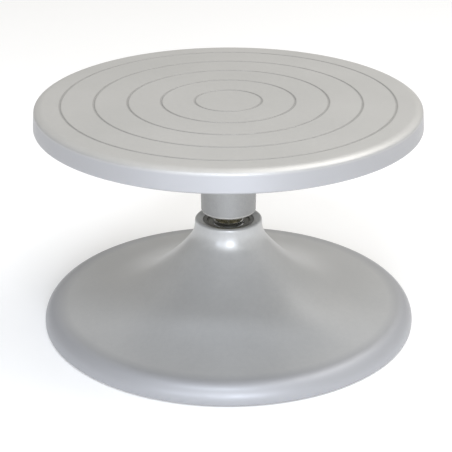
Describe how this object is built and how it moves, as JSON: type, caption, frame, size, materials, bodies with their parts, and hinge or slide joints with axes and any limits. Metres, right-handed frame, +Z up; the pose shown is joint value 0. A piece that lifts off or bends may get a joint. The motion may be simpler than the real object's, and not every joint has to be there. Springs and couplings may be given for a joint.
{
  "type": "cake turntable",
  "caption": "Revolving cake stand with a flat ringed round plate on a tall stem that turns in ball bearings on a flared round base.",
  "frame": {"origin": "on the table, under the middle of the foot ring, on the spindle's axis", "axes": "+Z up along the spindle's axis, out of the plate's top face; -Y towards the front, where a corner of the lock nut points"},
  "size_m": [0.2958, 0.2958, 0.181],
  "materials": {
    "plate_enamel": "satin silver enamel on cast aluminium",
    "base_enamel": "satin silver enamel on cast aluminium",
    "foot_rubber": "matte black",
    "turned_steel": "fine turned",
    "yellow_zinc": "yellow zinc plate",
    "bearing_steel": "ground",
    "pressed_steel": "bright rolled sheet",
    "spring_steel": "dark phosphate"
  },
  "bodies": {
    "base": {"base_casting": "base_enamel", "foot_ring": "foot_rubber", "upper_outer_race": "bearing_steel", "upper_shield_top": "pressed_steel", "upper_shield_bottom": "pressed_steel", "upper_circlip": "spring_steel", "lower_outer_race": "bearing_steel", "lower_shield_top": "pressed_steel", "lower_shield_bottom": "pressed_steel", "lower_circlip": "spring_steel"},
    "inner_races": {"upper_inner_race": "bearing_steel", "lower_inner_race": "bearing_steel"},
    "turntable": {"turntable_plate": "plate_enamel", "spindle": "turned_steel", "stem_lock_nut": "yellow_zinc"},
    "upper_cage": {"upper_balls": "bearing_steel", "upper_cage_top": "pressed_steel", "upper_cage_bottom": "pressed_steel", "upper_cage_rivets": "pressed_steel"},
    "lower_cage": {"lower_balls": "bearing_steel", "lower_cage_top": "pressed_steel", "lower_cage_bottom": "pressed_steel", "lower_cage_rivets": "pressed_steel"}
  },
  "joints": [
    {"name": "turntable_spin", "type": "hinge", "parent": "base", "child": "inner_races", "pos_m": [0, 0, 0.075], "axis": [0, 0, 1], "continuous": true},
    {"name": "plate_lift", "type": "slide", "parent": "inner_races", "child": "turntable", "axis": [0, 0, 1], "range_m": [0, 0.08]},
    {"name": "upper_cage_spin", "type": "hinge", "parent": "base", "child": "upper_cage", "pos_m": [0, 0, 0.075], "axis": [0, 0, 1], "continuous": true},
    {"name": "lower_cage_spin", "type": "hinge", "parent": "base", "child": "lower_cage", "pos_m": [0, 0, 0.02135], "axis": [0, 0, 1], "continuous": true}
  ],
  "couplings": [
    {"joint": "upper_cage_spin", "follows": "turntable_spin", "ratio": 0.38158},
    {"joint": "lower_cage_spin", "follows": "turntable_spin", "ratio": 0.381}
  ]
}
